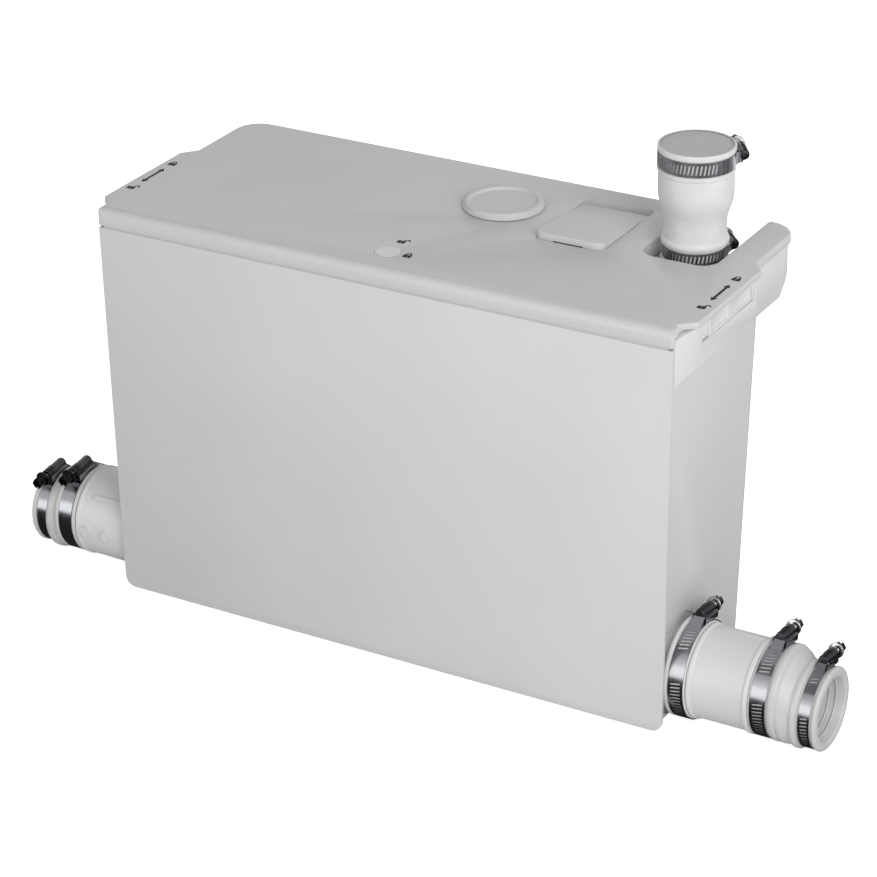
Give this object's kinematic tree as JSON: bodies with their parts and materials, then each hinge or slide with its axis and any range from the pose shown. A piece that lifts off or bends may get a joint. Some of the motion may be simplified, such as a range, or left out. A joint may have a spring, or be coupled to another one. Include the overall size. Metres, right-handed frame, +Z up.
{
  "type": "sewage lifting unit",
  "caption": "Floor-standing sewage lifting unit: flat plastic tank with front cover, latched lid, low side inlets with clamped rubber sleeves and a rear discharge riser.",
  "frame": {"origin": "on the floor, at the middle of the unit's width and of the lid's depth, on the tank's underside", "axes": "+X to the right along the front, +Y to the back, +Z up"},
  "size_m": [0.7159, 0.221, 0.419],
  "materials": {
    "tank_plastic": "fine moulded texture",
    "cover_plastic": "fine moulded texture",
    "lid_plastic": "fine moulded texture",
    "latch_plastic": "smooth",
    "white_rubber": "smooth moulded",
    "dark_rubber": "smooth moulded",
    "band_steel": "rolled strip",
    "screw_steel": "dark oxide",
    "pin_steel": "turned",
    "charcoal": "granular",
    "valve_plastic": "moulded",
    "pump_iron": "cast",
    "motor_alloy": "cast",
    "winding": "varnished"
  },
  "bodies": {
    "unit": {"tank": "tank_plastic", "rear_inlet": "tank_plastic", "valve_body": "valve_plastic", "valve_pin": "pin_steel", "left_stub": "tank_plastic", "pump_base": "pump_iron", "motor_housing": "motor_alloy", "motor_stator": "winding", "bearing_lower": "pin_steel", "bearing_upper": "pin_steel", "shaft_seal": "dark_rubber", "discharge_pipe": "valve_plastic", "service_deck": "valve_plastic", "level_tube": "valve_plastic", "pressure_switch": "valve_plastic", "control_box": "valve_plastic", "cable_gland": "valve_plastic"},
    "lid": {"lid": "lid_plastic", "lid_seal": "dark_rubber", "flap_pin": "pin_steel", "filter_cartridge": "charcoal"},
    "front_cover": {"front_cover": "cover_plastic"},
    "latch_left": {"latch_left": "latch_plastic"},
    "latch_right": {"latch_right": "latch_plastic"},
    "lock": {"quarter_turn_lock": "latch_plastic"},
    "cap": {"inspection_cap": "lid_plastic", "cap_seal": "dark_rubber"},
    "flap": {"service_flap": "lid_plastic"},
    "rotor": {"motor_rotor": "motor_alloy", "pump_shaft": "pin_steel", "impeller": "pump_iron", "cutter": "pin_steel"},
    "valve_flap": {"valve_flap": "dark_rubber"},
    "left_sleeve": {"left_reducer": "white_rubber", "clamp_left_wide": "band_steel", "clamp_left_narrow": "band_steel", "screw_left_wide": "screw_steel", "screw_left_narrow": "screw_steel"},
    "right_sleeve": {"right_collar": "white_rubber", "right_pipe": "tank_plastic", "right_reducer": "white_rubber", "clamp_right_inner": "band_steel", "clamp_right_middle": "band_steel", "clamp_right_outer": "band_steel", "screw_right_inner": "screw_steel", "screw_right_middle": "screw_steel", "screw_right_outer": "screw_steel"},
    "riser": {"riser_sleeve": "white_rubber", "clamp_riser_top": "band_steel", "clamp_riser_bottom": "band_steel", "screw_riser_top": "screw_steel", "screw_riser_bottom": "screw_steel"}
  },
  "joints": [
    {"name": "lid_lift", "type": "slide", "parent": "unit", "child": "lid", "axis": [0, 0, 1], "range_m": [0, 0.055]},
    {"name": "front_cover_pull", "type": "slide", "parent": "unit", "child": "front_cover", "axis": [0, -1, 0], "range_m": [0, 0.06]},
    {"name": "latch_left_slide", "type": "slide", "parent": "unit", "child": "latch_left", "axis": [0, -1, 0], "range_m": [0, 0.01]},
    {"name": "latch_right_slide", "type": "slide", "parent": "unit", "child": "latch_right", "axis": [0, -1, 0], "range_m": [0, 0.01]},
    {"name": "lock_turn", "type": "hinge", "parent": "lid", "child": "lock", "pos_m": [-0.004, -0.0795, 0.3375], "axis": [0, 0, 1], "range_deg": [0, 90]},
    {"name": "cap_lift", "type": "slide", "parent": "lid", "child": "cap", "axis": [0, 0, 1], "range_m": [0, 0.04]},
    {"name": "flap_open", "type": "hinge", "parent": "lid", "child": "flap", "pos_m": [0.109, 0.0727, 0.33342], "axis": [-1, 0, 0], "range_deg": [0, 75]},
    {"name": "pump_spin", "type": "hinge", "parent": "unit", "child": "rotor", "pos_m": [-0.07, -0.022, 0.1], "axis": [0, 0, 1], "continuous": true},
    {"name": "valve_open", "type": "hinge", "parent": "unit", "child": "valve_flap", "pos_m": [0.1946, 0.057, 0.2638], "axis": [-1, 0, 0], "range_deg": [0, 60]},
    {"name": "left_sleeve_pull", "type": "slide", "parent": "unit", "child": "left_sleeve", "axis": [-1, 0, 0], "range_m": [0, 0.05]},
    {"name": "right_sleeve_pull", "type": "slide", "parent": "unit", "child": "right_sleeve", "axis": [1, 0, 0], "range_m": [0, 0.05]},
    {"name": "riser_pull", "type": "slide", "parent": "unit", "child": "riser", "axis": [0, 0, 1], "range_m": [0, 0.06]}
  ]
}
